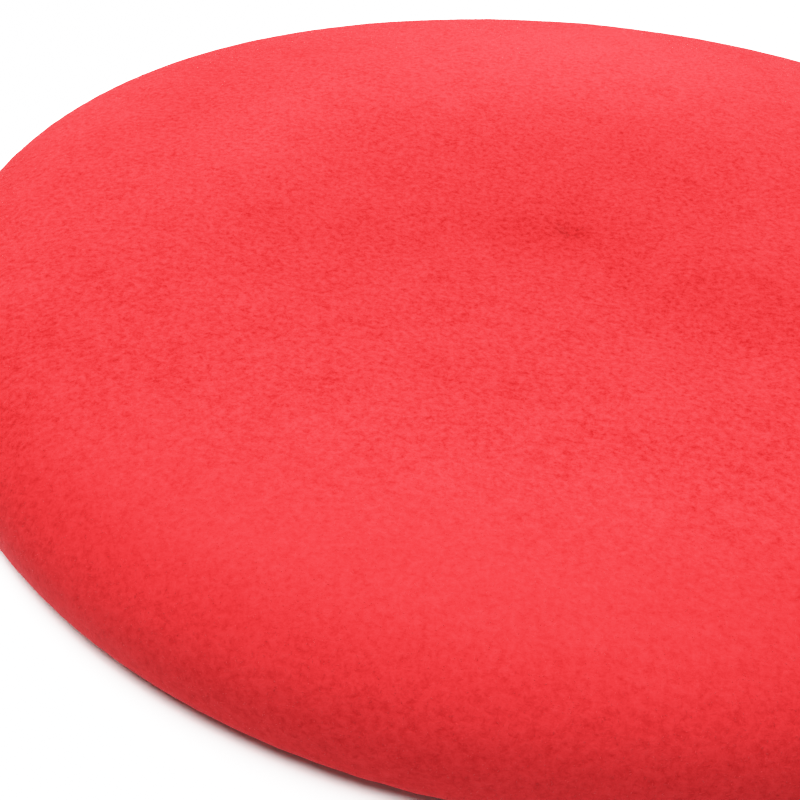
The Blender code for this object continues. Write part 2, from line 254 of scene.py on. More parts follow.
def relief(x, y):
    """Height that the felt's own forms add to the turned crown."""
    height = soft_patches(x, y, SOFT_FORMS)
    height += 0.0005 * smooth_noise(x, y, 0.026, 1)
    height += 0.00028 * smooth_noise(x, y, 0.011, 2)
    return height * (1 - ease((np.hypot(x, y) - FORMS_RADIUS) / FORMS_FADE))


def pucker(x, y):
    """Height that the pucker adds to the felt's outer face: a dimple and small pleats."""
    from_pucker = np.hypot(x, y - PUCKER_Y)
    azimuth = np.arctan2(y - PUCKER_Y, x)
    pleats = np.cos(PUCKER_PLEATS * azimuth + 2.0 * np.cos(azimuth + 1.0))
    reach = from_pucker / PUCKER_PLEAT_REACH
    dimple = PUCKER_DEPTH * np.exp(-((from_pucker / PUCKER_WIDTH) ** 2))
    return PUCKER_PLEAT_HEIGHT * pleats * reach * np.exp(1 - reach**2) - dimple


# -------- meshes


def new_object(name, data):
    obj = bpy.data.objects.new(name, data)
    bpy.context.scene.collection.objects.link(obj)
    return obj


def mesh_object(name, points, faces):
    mesh = bpy.data.meshes.new(name)
    mesh.from_pydata(np.asarray(points).reshape(-1, 3).tolist(), [], faces)
    mesh.shade_smooth()
    return new_object(name, mesh)


def turn_outwards(obj):
    """Makes every face of a closed skin look outwards."""
    skin = bmesh.new()
    skin.from_mesh(obj.data)
    bmesh.ops.recalc_face_normals(skin, faces=skin.faces)
    skin.to_mesh(obj.data)
    skin.free()
    obj.data.shade_smooth()
    return obj


def ring_faces(rows, columns, closes=False):
    """Quads between neighbouring closed rings, whose points go ring by ring."""
    faces = []
    for row in range(rows if closes else rows - 1):
        low, high = row * columns, (row + 1) % rows * columns
        for i in range(columns):
            j = (i + 1) % columns
            faces.append((low + i, high + i, high + j, low + j))
    return faces


def tube_faces(stations, sides):
    """The faces of one tube with flat ends."""
    size = stations * sides
    ends = [tuple(range(sides)), tuple(reversed(range(size - sides, size)))]
    return ring_faces(stations, sides) + ends


def disc_like(name, rings):
    """A closed skin from a list of rings, whose first and last ring shrink to a point."""
    columns = len(rings[0])
    middle = rings[1:-1]
    points = np.vstack([rings[0][:1], *middle, rings[-1][:1]])
    end = len(points) - 1
    start_last = 1 + (len(middle) - 1) * columns
    faces = [(0, 1 + i, 1 + (i + 1) % columns) for i in range(columns)]
    faces += [tuple(1 + v for v in face) for face in ring_faces(len(middle), columns)]
    faces += [(end, start_last + (i + 1) % columns, start_last + i) for i in range(columns)]
    return turn_outwards(mesh_object(name, points, faces))


def slab(name, upper, lower, closes=False):
    """A closed skin between two grids of points, which may close on itself along its rows."""
    rows, columns = upper.shape[:2]
    loops = np.concatenate([upper, lower[:, ::-1]], axis=1)
    around = 2 * columns
    faces = ring_faces(rows, around, closes)
    if not closes:
        for first in (0, (rows - 1) * around):
            for i in range(columns - 1):
                far = around - 1 - i
                faces.append((first + i, first + i + 1, first + far - 1, first + far))
    return turn_outwards(mesh_object(name, loops, faces))


def many_tubes(name, centres, across, up, radii, sides):
    """Short tubes in one mesh: centres of (tube, station, 3), and two directions for each tube."""
    count, stations = centres.shape[:2]
    turns = all_round(sides)[:, None]
    ring = across[:, None, None] * np.cos(turns) + up[:, None, None] * np.sin(turns)
    points = centres[:, :, None] + ring * np.broadcast_to(radii, (count, stations))[..., None, None]
    size = stations * sides
    shape = tube_faces(stations, sides)
    faces = [tuple(n * size + v for v in face) for n in range(count) for face in shape]
    return mesh_object(name, points, faces)


def strung(starts, *moves):
    """Points of (tube, station, 3): each start, moved along directions by each station's amount."""
    return starts[:, None] + sum(way[:, None] * amount[..., None] for way, amount in moves)


def path_normals(radius, height):
    """The left-hand normals along paths that run down the last axis."""
    dr, dz = np.gradient(radius, axis=-1), np.gradient(height, axis=-1)
    size = np.hypot(dr, dz)
    return -dz / size, dr / size


def moved(radius, height, distance):
    """Paths moved to their left."""
    normal_r, normal_z = path_normals(radius, height)
    return radius + normal_r * distance, height + normal_z * distance


def plan(azimuth, radius):
    """The x and y of one profile per azimuth, or of one for all."""
    return radius * np.cos(azimuth)[:, None], radius * np.sin(azimuth)[:, None]


def turned_grid(azimuth, radius, height):
    """Points of shape (azimuth, step, 3)."""
    x, y = plan(azimuth, radius)
    return np.stack([x, y, np.broadcast_to(height, x.shape)], axis=-1)


def rings_from_middle(azimuth, radius, height):
    """The same points ring by ring, the first of which shrinks to a point."""
    rings = turned_grid(azimuth, radius, height).transpose(1, 0, 2)
    rings[0] = rings[0].mean(axis=0)
    return rings


def distances(path):
    """How far along a path each of its points is."""
    return np.concatenate([[0], np.cumsum(np.linalg.norm(np.diff(path, axis=0), axis=1))])


def all_round(count):
    return np.linspace(0, 2 * math.pi, count, endpoint=False)


def finish(obj, material, nodes=(), body="beret"):
    obj.data.materials.append(material)
    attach(obj, body)
    if nodes:
        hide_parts(*nodes)


# -------- the felt


def top_profile(azimuth, dish_steps, shoulder_steps, end_radius=None):
    """The middle of the felt from the centre, over the ridge and down to the rim."""
    ridge = ridge_radius(azimuth)[:, None]
    rim = rim_radius(azimuth)[:, None]
    share = np.linspace(0, 1, dish_steps) ** 1.15
    dish_r = ridge * share
    top = ridge_height(azimuth)[:, None]
    dish_z = DISH_Z + (top - DISH_Z) * ease(share**DISH_POWER)
    last_angle = np.zeros_like(ridge)
    if end_radius:
        reached = (end_radius - ridge) / (rim - ridge)
        last_angle = np.arccos(reached ** (1 / SHOULDER_POWER))
    down = np.linspace(0, 1, shoulder_steps + 1)[1:]
    angle = math.pi / 2 + (last_angle - math.pi / 2) * down
    shoulder_r = ridge + (rim - ridge) * np.cos(angle) ** SHOULDER_POWER
    shoulder_z = RIM_Z + (top - RIM_Z) * np.sin(angle) ** SHOULDER_POWER
    return np.hstack([dish_r, shoulder_r]), np.hstack([dish_z, shoulder_z])


def underside_z(radius):
    share = (FOOT_RADIUS - radius) / (FOOT_RADIUS - BEND_RADIUS)
    return FOOT_Z + (BEND_Z - FOOT_Z) * ease(share)


def underside_profile(start_radius, steps, end_z):
    """From near the foot inwards, over the bend and down the collar."""
    radius = np.linspace(start_radius, BEND_RADIUS, steps)
    height = underside_z(radius)
    angle = np.radians(np.linspace(90, 180, BEND_STEPS + 1))[1:]
    bend_r = BEND_RADIUS + BEND * np.cos(angle)
    bend_z = COLLAR_TOP_Z + BEND * np.sin(angle)
    collar_z = np.linspace(COLLAR_TOP_Z, end_z, COLLAR_STEPS + 1)[1:]
    collar_r = np.full_like(collar_z, COLLAR_RADIUS)
    radius = np.concatenate([radius, bend_r, collar_r])
    return radius, np.concatenate([height, bend_z, collar_z])


def felt_profile(azimuth, dish_steps, shoulder_steps, lower_steps, under_steps):
    """The middle of the felt all the way from the pucker to its raw edge."""
    top_r, top_z = top_profile(azimuth, dish_steps, shoulder_steps)
    rim = rim_radius(azimuth)[:, None]
    angle = np.radians(np.linspace(0, -90, lower_steps + 1))[1:]
    lower_r = FOOT_RADIUS + (rim - FOOT_RADIUS) * np.cos(angle)
    lower_z = RIM_Z + (RIM_Z - FOOT_Z) * np.sin(angle) + 0 * rim
    under = underside_profile(FOOT_RADIUS, under_steps, FELT_EDGE_Z)
    under_r, under_z = (np.tile(line[1:], (len(azimuth), 1)) for line in under)
    return np.hstack([top_r, lower_r, under_r]), np.hstack([top_z, lower_z, under_z])


def underside_gathers(azimuth, radius):
    """Soft radial puckers where the wide crown is drawn in to the head opening."""
    depth = ease((GATHER_RADIUS - radius) / 0.024) * ease((radius - BEND_RADIUS) / 0.004)
    wander = 0.9 * np.sin(3 * azimuth + 1.0) + 0.6 * np.sin(7 * azimuth)
    waves = np.sin(54 * azimuth + 2 * wander) + 0.5 * np.sin(31 * azimuth - 3 * wander)
    return GATHER_HEIGHT * depth * waves[:, None]


def felt_side(side, counts):
    """The rings of one face of the felt: side 1 is the outside, and -1 the inside."""
    azimuth = all_round(AROUND)
    radius, height = felt_profile(azimuth, *counts)
    normal_r, normal_z = path_normals(radius, height)
    top_count = counts[0] + counts[1]
    x, y = plan(azimuth, radius)
    drawn = PUCKER_Y * (1 - ease(radius / DRAWN_RADIUS))
    drawn[:, top_count:] = 0
    lift = relief(x, y + drawn)
    if side > 0:
        lift += pucker(x, y + drawn)
    lift[:, top_count:] = 0
    under = np.arange(radius.shape[1]) >= top_count + counts[2]
    lift = lift + np.where(under, underside_gathers(azimuth, radius), 0)
    half = FELT / 2 * side
    height += normal_z * half + lift
    rings = rings_from_middle(azimuth, radius + normal_r * half, height)
    rings[..., 1] += drawn.T
    return rings


def outward(rings):
    """Unit normals of the felt's outside."""
    along = np.gradient(rings, axis=0)
    around = np.roll(rings, -1, 1) - np.roll(rings, 1, 1)
    normal = np.cross(around, along)
    return normal / np.maximum(np.linalg.norm(normal, axis=-1, keepdims=True), 1e-12)


def roughen(rings, amount, size, seed):
    """How each point of the felt's outside moves in or out, for its milled surface."""
    values = [
        noise.noise((p[0] / size, p[1] / size, p[2] / size + seed))
        + 0.6 * noise.noise((p[0] / size * 2.3, p[1] / size * 2.3, p[2] / size + seed))
        for p in rings.reshape(-1, 3)
    ]
    return outward(rings) * (amount * np.array(values).reshape(rings.shape[:-1]))[..., None]


def note_nap_and_painted_light(obj):
    """Notes on each point the painted light and shade of the felt, and how rubbed the nap is, for
    the wool's materials.
    """
    places = np.empty(len(obj.data.vertices) * 3)
    obj.data.vertices.foreach_get("co", places)
    x, y, z = places.reshape(-1, 3).T
    # Painted light and shade: patches that make the felt's colour paler or darker, partly for the
    # nap's lie
    shade = 1 + np.where(z > RIM_Z, soft_patches(x, y, NAP_AND_PAINTED_LIGHT), 0)
    # Painted shade: the felt's colour is darker towards the front of the rim
    to_front = ease((0.05 - y) / 0.11)
    shade -= FRONT_RIM_PAINTED_SHADE * to_front * ease((np.hypot(x, y) - FRONT_RIM_SHADE_RADIUS) / FRONT_RIM_SHADE_FADE)
    rubbed = FRONT_RUB * ease((FRONT_RUB_Y - y) / FRONT_RUB_FADE)
    for name, values in (("nap", shade), ("rubbed", rubbed)):
        obj.data.attributes.new(name, "FLOAT", "POINT").data.foreach_set("value", values)


def cut_vent_holes(felt):
    """Real holes where the eyelets go through the felt."""
    bore = VENT_BORE + VENT_WALL + GAP
    for azimuth in vent_azimuths().values():
        bpy.ops.mesh.primitive_cylinder_add(vertices=48, radius=bore, depth=FELT * 3)
        cutter = bpy.context.object
        cutter.matrix_world = vent_matrix(azimuth)
        cut = felt.modifiers.new("hole", "BOOLEAN")
        cut.operation = "DIFFERENCE"
        cut.object = cutter
        graph = bpy.context.evaluated_depsgraph_get()
        holed = bpy.data.meshes.new_from_object(felt.evaluated_get(graph))
        felt.modifiers.remove(cut)
        felt.data = holed
        bpy.data.objects.remove(cutter)


def make_felt():
    outside = felt_side(1, FELT_STEPS)
    foot_row = sum(FELT_STEPS[:3])
    under_end = len(outside) - BEND_STEPS - COLLAR_STEPS
    rough = roughen(outside, MILLING, MILLING_SIZE, 3.0)
    rough[0] = 0
    settled = ease((under_end - np.arange(len(outside))) / 6)
    outside = outside + rough * settled[:, None, None]
    inside = felt_side(-1, INSIDE_STEPS)
    felt = disc_like("crown_felt", [*outside, *inside[::-1]])
    cut_vent_holes(felt)
    note_nap_and_painted_light(felt)
    return felt, outside[:foot_row], outside[foot_row - 4 : under_end - 4]


# -------- the nap's fibres


def fibres(name, rings, seed, kind, keep=None):
    """Loose fibres that stand and curl out of the felt, each a thin tapered strand."""
    count, length, stand, radius = kind
    random = np.random.default_rng(seed)
    corner = [rings[:-1], rings[1:], np.roll(rings, -1, 1)[1:], np.roll(rings, -1, 1)[:-1]]
    cross = np.cross(corner[2] - corner[0], corner[3] - corner[1])
    area = np.linalg.norm(cross, axis=-1)
    if keep:
        area = area * keep(corner[0])
    chosen = random.choice(area.size, count, p=(area / area.sum()).ravel())
    u, v = random.random((2, count, 1))
    flat = [c.reshape(-1, 3)[chosen] for c in corner]
    root = (flat[0] * (1 - u) + flat[1] * u) * (1 - v) + (flat[3] * (1 - u) + flat[2] * u) * v
    normal = -cross.reshape(-1, 3)[chosen]
    normal /= np.linalg.norm(normal, axis=1, keepdims=True)
    heading = random.normal(size=(count, 3))
    heading -= normal * (heading * normal).sum(1, keepdims=True)
    heading /= np.linalg.norm(heading, axis=1, keepdims=True)
    sideways = np.cross(normal, heading)
    size = length * np.exp(random.normal(0, 0.35, (count, 1)))
    rise = size * stand * random.uniform(0.4, 1.6, (count, 1))
    bend = size * random.normal(0, 0.45, (count, 1))
    steps = np.array([0, 0.5, 1])
    lifted = rise * (steps - 0.45 * steps**2) * 1.8 - FIBRE_ROOT
    moves = ((heading, size * steps), (sideways, bend * steps**2), (normal, lifted))
    centres = strung(root, *moves)
    centres[..., 2] = np.maximum(centres[..., 2], radius)  # those that meet the table lie on it
    taper = radius * np.array([1.0, 0.8, 0.25])
    strands = many_tubes(name, centres, sideways, normal, taper, 3)
    note_nap_and_painted_light(strands)
    return strands


def clear_of_vents(points):
    """1 where a strand may grow, and 0 on and near the eyelets."""
    allowed = np.ones(points.shape[:-1])
    for azimuth in vent_azimuths().values():
        place = vent_matrix(azimuth).translation
        allowed *= np.linalg.norm(points - np.array(place), axis=-1) > VENT_FLANGE + 0.0014
    return allowed


def make_nap(top, under):
    strand = fibre_material()
    for layer in range(NAP_LAYERS):
        nap = fibres(f"nap_fibres_crown_{layer + 1}", top, 11 + layer, CROWN_NAP)
        finish(nap, strand)
    finish(fibres("nap_loose_hairs", top, 31, LOOSE_HAIRS), strand)
    below = fibres("nap_fibres_underside", under, 41, UNDERSIDE_NAP, clear_of_vents)
    finish(below, strand)


# -------- the lining


def tip_slack(x, y):
    """How far the satin hangs below its taut place, in slack folds that spare the label."""
    radius = np.hypot(x, y)
    azimuth = np.arctan2(y, x)
    slack = 1 - ease((radius - 0.074) / 0.018)
    beside_label = ease((radius - 0.027) / 0.022)
    folds = smooth_noise(x, y, 0.028, 5) + 0.5 * smooth_noise(x, y, 0.012, 6)
    spokes = np.cos(13 * azimuth + 2.5 * np.sin(2 * azimuth + 0.4))
    return slack * (0.0004 + 0.0011 * beside_label * (1 + folds + 0.35 * spokes))


def make_lining_tip():
    azimuth = all_round(300)
    felt = top_profile(azimuth, 60, 16, LINING_SEAM_RADIUS - 0.001)
    radius, height = moved(*felt, -LINING_DEPTH)
    radius[:, 0] = 0
    turned_down = np.linspace(0, 1, 5)[None, 1:]
    seam_z = LINING_SEAM_Z + 0.0006
    edge_r = radius[:, -1:] + (LINING_SEAM_RADIUS - radius[:, -1:]) * np.sqrt(turned_down)
    edge_z = height[:, -1:] + (seam_z - height[:, -1:]) * turned_down
    radius, height = np.hstack([radius, edge_r]), np.hstack([height, edge_z])
    x, y = plan(azimuth, radius)
    height += np.minimum(relief(x, y), 0.0003) - tip_slack(x, y)
    upper = rings_from_middle(azimuth, radius, height + LINING / 2)
    lower = rings_from_middle(azimuth, radius, height - LINING / 2)
    tip = disc_like("lining_tip_satin", [*upper, *lower[::-1]])
    return tip


def make_lining_side():
    """The satin ring, gathered round the opening, from the bag's seam into the binding."""
    azimuth = all_round(AROUND)
    radius, height = underside_profile(LINING_SEAM_RADIUS - 0.0065, 16, INNER_LEAF_TOP - 0.007)
    settled = (LINING_LIFT_RADIUS - radius) / (LINING_LIFT_RADIUS - BEND_RADIUS)
    lift = LINING_LIFT + (LINING_DEPTH - LINING_LIFT) * ease(settled)
    radius, height = moved(radius, height, -lift)
    angle = np.radians(np.linspace(15, -90, 9))[:-1]
    seam_r = radius[0] + (LINING_SEAM_RADIUS - radius[0]) * np.cos(angle)
    seam_z = LINING_SEAM_Z + (LINING_SEAM_Z - height[0]) * np.sin(angle)
    radius, height = np.concatenate([seam_r, radius]), np.concatenate([seam_z, height])
    gathers = ease((radius - 0.098) / 0.006) * (1 - ease((radius - 0.118) / 0.006))
    waves = np.sin(70 * azimuth + 1.5 * np.sin(5 * azimuth))[:, None] * 0.0003 * gathers
    faces = (moved(radius, height, shift) for shift in (LINING / 2, -LINING / 2))
    sides = (turned_grid(azimuth, face_r, face_z + waves) for face_r, face_z in faces)
    side = slab("lining_side_satin", *sides, closes=True)
    return side


# -------- the leather binding


def binding_route(count):
    """The strip's middle up one leaf, round the fold and up the other, evenly stepped."""
    low = LEATHER / 2
    fold = (OUTER_LEAF_RADIUS - INNER_LEAF_RADIUS) * 0.3
    turn = np.radians(np.linspace(0, -90, 13))
    outer = np.stack(
        [OUTER_LEAF_RADIUS - fold + fold * np.cos(turn), low + fold + fold * np.sin(turn)], 1
    )
    inner = outer[::-1] * (-1, 1) + (INNER_LEAF_RADIUS + OUTER_LEAF_RADIUS, 0)
    route = np.vstack(
        [[OUTER_LEAF_RADIUS, OUTER_LEAF_TOP], outer, inner, [INNER_LEAF_RADIUS, INNER_LEAF_TOP]]
    )
    travelled = distances(route)
    ends = np.array([0, 0.06, 0.18, 0.4, 0.7, 1.0]) * LEATHER
    middle = np.linspace(LEATHER, travelled[-1] - LEATHER, count)
    wanted = np.concatenate([ends[:-1], middle, travelled[-1] - ends[::-1][1:]])
    radius = np.interp(wanted, travelled, route[:, 0])
    height = np.interp(wanted, travelled, route[:, 1])
    to_end = np.minimum(wanted, travelled[-1] - wanted) / (LEATHER / 2)
    half = LEATHER / 2 * rounded_end(to_end, 0.01)
    return radius, height, half


def round_opening(count, half_gap):
    """From one side of a gap at the back, round the opening and to its other side."""
    end = half_gap / CORD_RING_RADIUS
    return np.linspace(BACK + end, BACK + 2 * math.pi - end, count)


def stitch_azimuths():
    count = int(2 * math.pi * CORD_RING_RADIUS / STITCH_PITCH)
    return round_opening(count, BINDING_GAP / 2 + 0.003)


def make_binding():
    azimuth = round_opening(760, BINDING_GAP / 2)
    radius, height, half = binding_route(44)
    share = (azimuth - azimuth[0]) / (azimuth[-1] - azimuth[0])
    stitch_turns = (azimuth - stitch_azimuths()[0]) / np.diff(stitch_azimuths()[:2])
    pull = 0.6 + 0.4 * np.cos(2 * np.pi * (stitch_turns + 0.5))
    line = np.exp(-(((height - STITCH_LINE_Z) / 0.0007) ** 2))
    groove = 0.00016 * pull[:, None] * line
    sway = 0.00012 * np.sin(23 * azimuth) + 0.0001 * np.sin(41 * azimuth + 2)
    hand = np.clip((height - 0.004) / 0.008, 0, 1) * sway[:, None]
    rolled_end = rounded_end(np.minimum(share, 1 - share) / 0.0009, 0.05)
    sides = []
    for direction, dent in ((1, groove), (-1, 0)):
        face_r, face_z = moved(radius, height, direction * half * rolled_end[:, None] - dent)
        sides.append(turned_grid(azimuth, face_r + hand, face_z))
    band = slab("leather_binding", *sides)
    return band


def stitches(name, azimuth, radius, height, outward_sign, length):
    """One short arched tube of thread for each stitch, which dips in at both its ends."""
    radial = np.stack([np.cos(azimuth), np.sin(azimuth), 0 * azimuth], 1)
    up = np.tile([0, 0, 1], (len(azimuth), 1))
    along = np.cross(up, radial)
    steps = np.linspace(-1, 1, 7)
    outward = radial * outward_sign
    arch = STITCH_LIFT - STITCH_DIP * steps**4
    moves = ((along, steps * length / 2), (outward, arch), (up, STITCH_SLANT * steps))
    centres = strung(radial * radius + up * height, *moves)
    taper = THREAD_RADIUS * (1 - 0.25 * steps**4)
    return turn_outwards(many_tubes(name, centres, outward, up, taper, 8))


def make_stitching():
    thread = thread_material()
    azimuth = stitch_azimuths()
    azimuth = (azimuth[1:] + azimuth[:-1]) / 2
    length = STITCH_PITCH * 0.84
    for name, leaf, sign in (("outer", OUTER_LEAF_RADIUS, 1), ("inner", INNER_LEAF_RADIUS, -1)):
        radius = leaf + sign * LEATHER / 2
        row = stitches(f"binding_stitches_{name}", azimuth, radius, STITCH_LINE_Z, sign, length)
        finish(row, thread, [f"binding_thread_{name}"])
    radius, height = LINING_SEAM_RADIUS + 0.0006, LINING_SEAM_Z + 0.0008
    seam = stitches("lining_seam_stitches", all_round(300), radius, height, 1, 0.0022)
    finish(seam, thread, ["lining_seam_thread"])


# -------- the drawcord


def plied(name, path, radius):
    """A cord of twisted strands along a path of points."""
    columns = 18
    along = np.gradient(path, axis=0)
    along /= np.linalg.norm(along, axis=1, keepdims=True)
    across = np.cross(along, (0.0, 0.0, 1.0))
    across /= np.maximum(np.linalg.norm(across, axis=1, keepdims=True), 1e-9)
    up = np.cross(across, along)
    travelled = distances(path)
    turns = all_round(columns)
    twist = 2 * math.pi * travelled / CORD_PITCH
    lobes = np.abs(np.cos(CORD_STRANDS / 2 * (turns[None, :] - twist[:, None])))
    to_end = np.minimum(travelled, travelled[-1] - travelled) / radius
    blunt = rounded_end(to_end * 2, 0.04)
    reach = radius * (0.8 + 0.2 * lobes) * blunt[:, None]
    turns = turns[:, None]
    ring = across[:, None] * np.cos(turns) + up[:, None] * np.sin(turns)
    rings = path[:, None] + ring * reach[..., None]
    return turn_outwards(mesh_object(name, rings, tube_faces(len(path), columns)))


def smooth_path(points, count):
    """A smooth path through points, read evenly by its parameter."""
    points = np.array(points, dtype=float)
    padded = np.vstack([2 * points[0] - points[1], points, 2 * points[-1] - points[-2]])
    t = np.linspace(0, len(points) - 1 - 1e-9, count)
    index = t.astype(int)
    u = (t - index)[:, None]
    a, b, c, d = (padded[index + k] for k in range(4))
    return 0.5 * (
        2 * b + (c - a) * u + (2 * a - 5 * b + 4 * c - d) * u**2 + (3 * b - a - 3 * c + d) * u**3
    )


def make_drawcord():
    cotton = cotton_material()
    azimuth = round_opening(1100, CORD_LEAD)
    ring = turned_grid(azimuth, np.array([CORD_RING_RADIUS]), np.array([CORD_Z]))[:, 0]
    finish(plied("drawcord_ring", ring, CORD_RADIUS), cotton, ["drawcord"])

    knot_y, knot_z = OUTER_LEAF_RADIUS + 0.0022, CORD_Z + 0.0008
    start = CORD_LEAD - GAP
    turn = 0.0014  # radius of the turns that the two strands take round each other
    # The left strand's way as x, y, z and a rise; the right one's x and rise are mirrored
    route = [
        (start, CORD_RING_RADIUS, CORD_Z, 0),
        (start * 0.62, CORD_RING_RADIUS + 0.001, CORD_Z, 0),
        (0.0021, knot_y - 0.0016, knot_z, -0.0003),
        (0.0006, knot_y - turn, knot_z, 0.0007),
        (-0.0011, knot_y - 0.0002, knot_z, turn),
        (-0.0006, knot_y + turn, knot_z, -0.0001),
        (0.0008, knot_y + 0.0003, knot_z, -turn * 0.9),
        (0.0014, knot_y + 0.0024, knot_z - 0.0004, 0),
        (0.0019, knot_y + 0.0043, CORD_RADIUS + 0.0004, 0),
        (0.0024, knot_y + 0.0062, CORD_RADIUS + 0.0002, 0),
    ]
    for name, side in (("left", 1), ("right", -1)):
        path = smooth_path([(side * x, y, z + side * rise) for x, y, z, rise in route], 90)
        strand = plied(f"drawcord_knot_{name}", path, CORD_RADIUS * 0.94)
        nodes = ["drawcord_knot"] if side == 1 else []
        finish(strand, cotton, nodes)


# -------- vents, stiffener and labels


def vent_azimuths():
    half = VENT_SPACING / 2 / VENT_RADIUS
    return {"front": math.pi + half, "rear": math.pi - half}


def vent_matrix(azimuth):
    """A vent's place in the underside, with its own Z pointing out of the felt."""
    share = (FOOT_RADIUS - VENT_RADIUS) / (FOOT_RADIUS - BEND_RADIUS)
    rise = (BEND_Z - FOOT_Z) * math.pi / 2 * math.sin(math.pi * share)
    slope = -rise / (FOOT_RADIUS - BEND_RADIUS)
    radial = Vector((math.cos(azimuth), math.sin(azimuth), 0))
    out = (radial * slope - Vector((0, 0, 1))).normalized()
    side = Vector((-math.sin(azimuth), math.cos(azimuth), 0))
    turn = Matrix((side, out.cross(side), out)).transposed().to_4x4()
    place = radial * VENT_RADIUS + Vector((0, 0, underside_z(VENT_RADIUS)))
    return Matrix.Translation(place) @ turn


def rounded_profile(corners, radius):
    """A closed outline with each of its corners rounded off."""
    outline = []
    corners = np.array(corners)
    for i, corner in enumerate(corners):
        sides = corners[i - 1] - corner, corners[(i + 1) % len(corners)] - corner
        start, end = (corner + way * min(radius / np.linalg.norm(way), 0.5) for way in sides)
        for t in np.linspace(0, 1, 5):
            outline.append(start * (1 - t) ** 2 + corner * 2 * t * (1 - t) + end * t * t)
    return np.array(outline)


def make_vents():
    enamel = enamel_material()
    outside, inside = FELT / 2 + GAP, -FELT / 2 - GAP
    barrel = VENT_BORE + VENT_WALL
    washer_low = inside - VENT_WALL
    roll_top, roll_low = washer_low - GAP, washer_low - GAP - VENT_WALL
    dome = 0.0006  # the flange is domed, and its edge comes down to the felt
    eyelet = [
        (VENT_BORE, outside + VENT_WALL),
        ((VENT_BORE + VENT_FLANGE) / 2, outside + VENT_WALL + dome),
        (VENT_FLANGE, outside + 0.0001),
        (VENT_FLANGE - 0.0003, outside - 0.0001),
        ((VENT_BORE + VENT_FLANGE) / 2, outside + dome * 0.6),
        (barrel, outside),
        (barrel, roll_top),
        (barrel + 0.0009, roll_top),
        (barrel + 0.0009, roll_low),
        (VENT_BORE, roll_low),
    ]
    washer = [
        (barrel + GAP, inside),
        (VENT_FLANGE, inside),
        (VENT_FLANGE, washer_low),
        (barrel + GAP, washer_low),
    ]
    turns = all_round(64)
    for where, azimuth in vent_azimuths().items():
        for kind, corners, radius in (("eyelet", eyelet, 0.0006), ("washer", washer, 0.00015)):
            outline = rounded_profile(corners, radius)
            grid = turned_grid(turns, outline[:, 0], outline[:, 1])
            faces = ring_faces(len(turns), len(outline), closes=True)
            piece = turn_outwards(mesh_object(f"{kind}_{where}", grid, faces))
            piece.data.transform(vent_matrix(azimuth))
            finish(piece, enamel, [f"vent_{kind}_{where}"])


def patch_grid(width, depth, columns, rows, margin, corner_power=6):
    """A rounded rectangle's x and y, and 0 on its edge to 1 from a margin inwards."""
    u, v = np.meshgrid(np.linspace(-1, 1, columns), np.linspace(-1, 1, rows), indexing="ij")
    far = np.maximum(np.abs(u), np.abs(v))
    corner = (np.abs(u) ** corner_power + np.abs(v) ** corner_power) ** (1 / corner_power)
    pull = np.where(far > 0, far / np.maximum(corner, 1e-9), 1)
    x, y = u * pull * width / 2, v * pull * depth / 2
    inside = np.minimum(width / 2 - np.abs(x), depth / 2 - np.abs(y))
    return x, y, rounded_end(inside / margin, 0.02)


def make_stiffener():
    middle = (STIFFENER_INNER + STIFFENER_OUTER) / 2
    depth = STIFFENER_OUTER - STIFFENER_INNER
    x, y, fullness = patch_grid(STIFFENER_WIDTH, depth, 105, 43, 0.0005)
    radius, azimuth = middle + y, STIFFENER_AZIMUTH + x / middle
    step = 0.0005
    slope = (underside_z(radius + step) - underside_z(radius - step)) / (2 * step)
    size = np.hypot(slope, 1)
    mesh_weave = 0.00008 * (np.cos(x / 0.001 * math.pi) * np.cos(y / 0.001 * math.pi))
    half = STIFFENER / 2 * fullness
    sides = []
    for direction in (1, -1):
        rise = FELT / 2 + GAP + STIFFENER / 2 + 0.0001 + direction * half + mesh_weave
        reach = radius - slope / size * rise
        height = underside_z(radius) + rise / size
        sides.append(np.stack([reach * np.cos(azimuth), reach * np.sin(azimuth), height], -1))
    patch = slab("buckram_stiffener", *sides)
    finish(patch, buckram_material(), ["badge_stiffener"])


def tip_underside(x, y):
    """Height of the satin's lower face near the middle of the lining's tip."""
    radius, azimuth = np.hypot(x, y), np.arctan2(y, x)
    share = radius / ridge_radius(azimuth)
    rise = (ridge_height(azimuth) - DISH_Z) * ease(share**DISH_POWER)
    felt = DISH_Z + rise + np.minimum(relief(x, y), 0.0003)
    return felt - LINING_DEPTH - tip_slack(x, y) - LINING / 2


def woven_relief(x, y, width, depth):
    """Folded ends, and a raised border inside all four edges of a woven label."""
    to_end = width / 2 - np.abs(x)
    to_side = depth / 2 - np.abs(y)
    fold = 0.00012 * (1 - ease((to_end - 0.003) / 0.0006))
    border = np.minimum(to_end - 0.0042, to_side - 0.0022)
    line = 0.00006 * np.exp(-((border / 0.00035) ** 2))
    return fold + line


